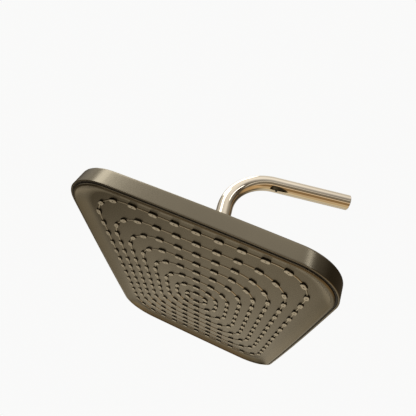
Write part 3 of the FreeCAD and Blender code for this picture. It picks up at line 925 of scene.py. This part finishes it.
def build_face():
    bm = bmesh.new()
    tree = add_field(bm)
    deepen_holes(bm, tree)
    rows = loops_of(bm, [outline(inset, z) for inset, z in rim_profile()])
    bridge(bm, rows)
    bmesh.ops.remove_doubles(bm, verts=bm.verts, dist=1e-3)
    settle_order(bm)
    make_piece("rain_face_plate", bm, head_place(), FACE, "head", ["face_plate"], 40)


# Section of a nozzle: (radius, height, share of the oval's length), from inside the jet
# hole over the flat tip and its rounded shoulder up the barrel.
NOZZLE_SECTION = (
    (0.38, 2.2, 0.0), (0.40, 0.35, 0.0), (0.52, 0.10, 0.0), (0.75, 0.03, 0.1), (1.05, 0.01, 0.5),
    (1.35, 0.0, 0.9), (1.55, 0.0, 1.0), (1.72, 0.05, 1.0), (1.83, 0.15, 1.0), (1.88, 0.32, 1.0),
    (NOZZLE_HALF_W, 0.7, 1.0), (NOZZLE_HALF_W, 1.6, 1.0), (NOZZLE_HALF_W, MAT_Z + 0.1, 1.0),
)


def build_nozzles():
    bm = bmesh.new()
    for nozzle in NOZZLES:
        rows = loops_of(bm, [oval(nozzle, r, z, share) for r, z, share in NOZZLE_SECTION])
        bridge(bm, rows)
        bm.faces.new(rows[0])
        bm.faces.new(rows[-1])
    rows = [outline(MAT_INSET, MAT_Z), outline(MAT_INSET, MAT_TOP)]
    made = loops_of(bm, rows)
    bridge(bm, made)
    bm.faces.new(made[0])
    bm.faces.new(made[1])
    bmesh.ops.remove_doubles(bm, verts=bm.verts, dist=1e-4)
    make_piece("nozzle_tips", bm, head_place(), TIPS, "head", ["nozzle_mat"], 40)


# ---------- stage ----------
FLOOR_Z = -2.1
FLOOR_HALF = 8.0
DOME_R = 9.0
LIT_POINT = Vector((-0.14, 0.0, -0.12))
LAMP_DISTANCE = 2.2


def plain_material(name, colour, rough):
    mat, tree, shader = new_material(name)
    clouds = noise(tree, object_space(tree), 2.0, 2.0)
    low = tuple(0.97 * c for c in colour)
    tree.links.new(two_tone(tree, clouds, low, colour), shader.inputs["Base Color"])
    shader.inputs["Roughness"].default_value = rough
    return mat


def glow_material(name, colour, strength):
    mat = bpy.data.materials.new(name)
    mat.use_nodes = True
    tree = mat.node_tree
    tree.nodes.clear()
    out = tree.nodes.new("ShaderNodeOutputMaterial")
    glow = tree.nodes.new("ShaderNodeEmission")
    glow.inputs["Color"].default_value = (*colour, 1)
    glow.inputs["Strength"].default_value = strength
    tree.links.new(glow.outputs["Emission"], out.inputs["Surface"])
    return mat


def stage_object(name, mesh, material):
    mesh.materials.append(material)
    made = bpy.data.objects.new(name, mesh)
    bpy.context.scene.collection.objects.link(made)
    return made


def build_stage():
    bm = bmesh.new()
    bmesh.ops.create_grid(bm, x_segments=2, y_segments=2, size=FLOOR_HALF)
    bm.transform(Matrix.Translation((0, 0, FLOOR_Z)))
    mesh = bpy.data.meshes.new("floor")
    bm.to_mesh(mesh)
    bm.free()
    floor = stage_object("floor", mesh, plain_material("pale_floor", (0.78, 0.77, 0.75), 0.6))
    floor.visible_glossy = False
    bm = bmesh.new()
    bmesh.ops.create_uvsphere(bm, u_segments=48, v_segments=24, radius=DOME_R)
    mesh = bpy.data.meshes.new("backdrop")
    bm.to_mesh(mesh)
    bm.free()
    dome = stage_object("backdrop", mesh, glow_material("white_backdrop", (1.0, 1.0, 0.995), 0.95))
    dome.visible_diffuse = False
    dome.visible_glossy = False
    dome.visible_transmission = False
    dome.visible_shadow = False


def area_light(name, direction, size, power):
    """Soft box that faces the head from a direction, size is (across, high) in metres."""
    light = bpy.data.lights.new(name, "AREA")
    light.shape = "RECTANGLE"
    light.size, light.size_y = size
    light.energy = power
    lamp = bpy.data.objects.new(name, light)
    lamp.location = LIT_POINT + direction * LAMP_DISTANCE
    lamp.rotation_euler = direction.to_track_quat("Z", "Y").to_euler()
    bpy.context.scene.collection.objects.link(lamp)


# Soft light of the room: (name, azimuth, elevation, inner and outer radius in degrees, colour).
# Azimuth 0 is in front of the head's near side and 90 is towards the wall side of the arm.
ROOM_LIGHT = (
    ("front", -14, 36, 6, 52, (0.63, 0.61, 0.58)),
    ("left", -80, 28, 5, 45, (0.50, 0.48, 0.44)),
    ("front_right", 38, 34, 5, 40, (0.16, 0.15, 0.13)),
    ("top", 10, 82, 8, 60, (0.44, 0.41, 0.36)),
    ("top_back", 178, 52, 8, 45, (0.36, 0.34, 0.30)),
    ("far_low", 176, -18, 8, 42, (0.48, 0.44, 0.36)),
    ("far_deep", -150, -58, 8, 32, (0.36, 0.33, 0.27)),
    ("below", 60, -78, 10, 58, (0.23, 0.13, 0.045)),
    ("warm_right", 90, -24, 5, 36, (0.46, 0.29, 0.13)),
    ("far_right_deep", 140, -58, 5, 30, (0.30, 0.26, 0.17)),
)
ROOM_AMBIENT = (0.075, 0.058, 0.038)
# Long thin lights parallel to the arm, and one dark bar that takes light away:
# (name, elevation, half width in degrees, colour).
ROOM_STRIPS = (
    ("high", 88, 6, (0.40, 0.40, 0.39)),
    ("bar", 21, 8, (-0.20, -0.20, -0.18)),
    ("line", -5, 5, (0.80, 0.74, 0.65)),
    ("mid", -23, 15, (0.16, 0.14, 0.11)),
    ("low", -46, 6, (0.72, 0.60, 0.44)),
    ("under", -91, 6, (0.30, 0.26, 0.20)),
    ("under_far", -128, 8, (0.22, 0.19, 0.13)),
    ("far_edge", -175, 14, (0.24, 0.20, 0.13)),
)


def towards(azimuth, elevation):
    a, e = math.radians(azimuth), math.radians(elevation)
    return Vector((math.sin(a) * math.cos(e), -math.cos(a) * math.cos(e), math.sin(e)))


def add_light(tree, share, colour, base):
    """The base colour plus a share of another."""
    total = tree.nodes.new("ShaderNodeVectorMath")
    total.operation = "MULTIPLY_ADD"
    tree.links.new(share, total.inputs[0])
    total.inputs[1].default_value = colour
    if isinstance(base, bpy.types.NodeSocket):
        tree.links.new(base, total.inputs[2])
    else:
        total.inputs[2].default_value = base
    return total.outputs["Vector"]


def add_glow(tree, direction, base, azimuth, elevation, inner, outer, colour):
    """Adds a round soft glow around one direction to the base colour."""
    facing = along(tree, direction, towards(azimuth, elevation))
    low, high = math.cos(math.radians(outer)), math.cos(math.radians(inner))
    share = remap(tree, facing, low, high, 0.0, 1.0, "SMOOTHSTEP")
    return add_light(tree, share, colour, base)


def add_strip(tree, direction, base, elevation, half_width, colour):
    """Adds a soft band of light, from side to side; past 90 degrees it is on the far side."""
    e = math.radians(elevation)
    off_band = tree.nodes.new("ShaderNodeMath")
    off_band.operation = "ABSOLUTE"
    tree.links.new(along(tree, direction, (0.0, math.sin(e), math.cos(e))), off_band.inputs[0])
    width = math.sin(math.radians(half_width))
    thin = remap(tree, off_band.outputs["Value"], 0.4 * width, width, 1.0, 0.0)
    ahead = along(tree, direction, (0.0, -math.cos(e), math.sin(e)))
    both = tree.nodes.new("ShaderNodeMath")
    both.operation = "MULTIPLY"
    tree.links.new(thin, both.inputs[0])
    tree.links.new(remap(tree, ahead, 0.5, 0.8, 0.0, 1.0), both.inputs[1])
    return add_light(tree, both.outputs["Value"], colour, base)


def build_room():
    world = bpy.data.worlds.new("soft_room")
    world.use_nodes = True
    tree = world.node_tree
    coords = tree.nodes.new("ShaderNodeTexCoord")
    colour = ROOM_AMBIENT
    direction = coords.outputs["Generated"]
    for _, *glow in ROOM_LIGHT:
        colour = add_glow(tree, direction, colour, *glow)
    for _, *strip in ROOM_STRIPS:
        colour = add_strip(tree, direction, colour, *strip)
    sky = tree.nodes["Background"]
    tree.links.new(colour, sky.inputs["Color"])
    sky.inputs["Strength"].default_value = 1.0
    bpy.context.scene.world = world


def build_lights():
    area_light("key_left", towards(-49, 36), (0.8, 1.5), 8.0)
    area_light("strip_right", towards(33, 25), (0.22, 0.8), 1.5)
    area_light("overhead", towards(-100, 68), (1.4, 1.4), 10.0)


def build_camera():
    """Below the head's near side and looking up at its face, like the photograph."""
    lens = bpy.data.cameras.new("camera")
    lens.lens = 27.75
    lens.sensor_width = 36.0
    lens.shift_x = -0.0047
    lens.shift_y = 0.0693
    lens.clip_start = 0.01
    lens.clip_end = 30.0
    right = Vector((0.9694, -0.0975, 0.2253))
    up = Vector((-0.2436, -0.4959, 0.8335))
    back = right.cross(up)
    eye = bpy.data.objects.new("camera", lens)
    turn = Matrix((right, up, back)).transposed().to_4x4()
    eye.matrix_world = Matrix.Translation((-0.149, -0.3175, -0.285)) @ turn
    bpy.context.scene.collection.objects.link(eye)
    bpy.context.scene.camera = eye


def set_colours():
    view = bpy.context.scene.view_settings
    view.view_transform = "Standard"
    view.look = "None"
    view.exposure = 0.0
    view.gamma = 1.0


finish_cad_nodes()
build_arm()
build_stem()
build_cap_nut()
build_back_collar()
build_shell()
build_face()
build_nozzles()
build_stage()
build_room()
build_lights()
build_camera()
set_colours()
